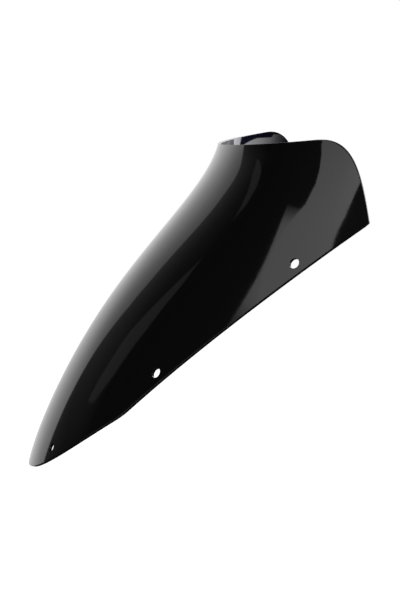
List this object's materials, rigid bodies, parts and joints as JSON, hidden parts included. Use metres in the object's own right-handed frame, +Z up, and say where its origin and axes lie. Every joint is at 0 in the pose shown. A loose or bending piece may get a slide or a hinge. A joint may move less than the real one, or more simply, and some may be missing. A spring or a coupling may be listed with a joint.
{
  "type": "motorcycle windscreen",
  "caption": "One-piece curved motorcycle windscreen with a rounded nose, swept-back sides, a level top edge and small fixing holes along its lower edge.",
  "frame": {"origin": "bottom centre of the bounding box, on the plane of symmetry, level with the lowest point of the nose", "axes": "+Z up in the mounted attitude, -Y the direction of travel, +X across to the rider's left"},
  "size_m": [0.474, 0.3016, 0.3257],
  "materials": {
    "acrylic": "opaque high-gloss black acrylic sheet, polished on both faces and on the cut edge"
  },
  "bodies": {
    "root": {"screen_shell": "acrylic"}
  },
  "joints": []
}
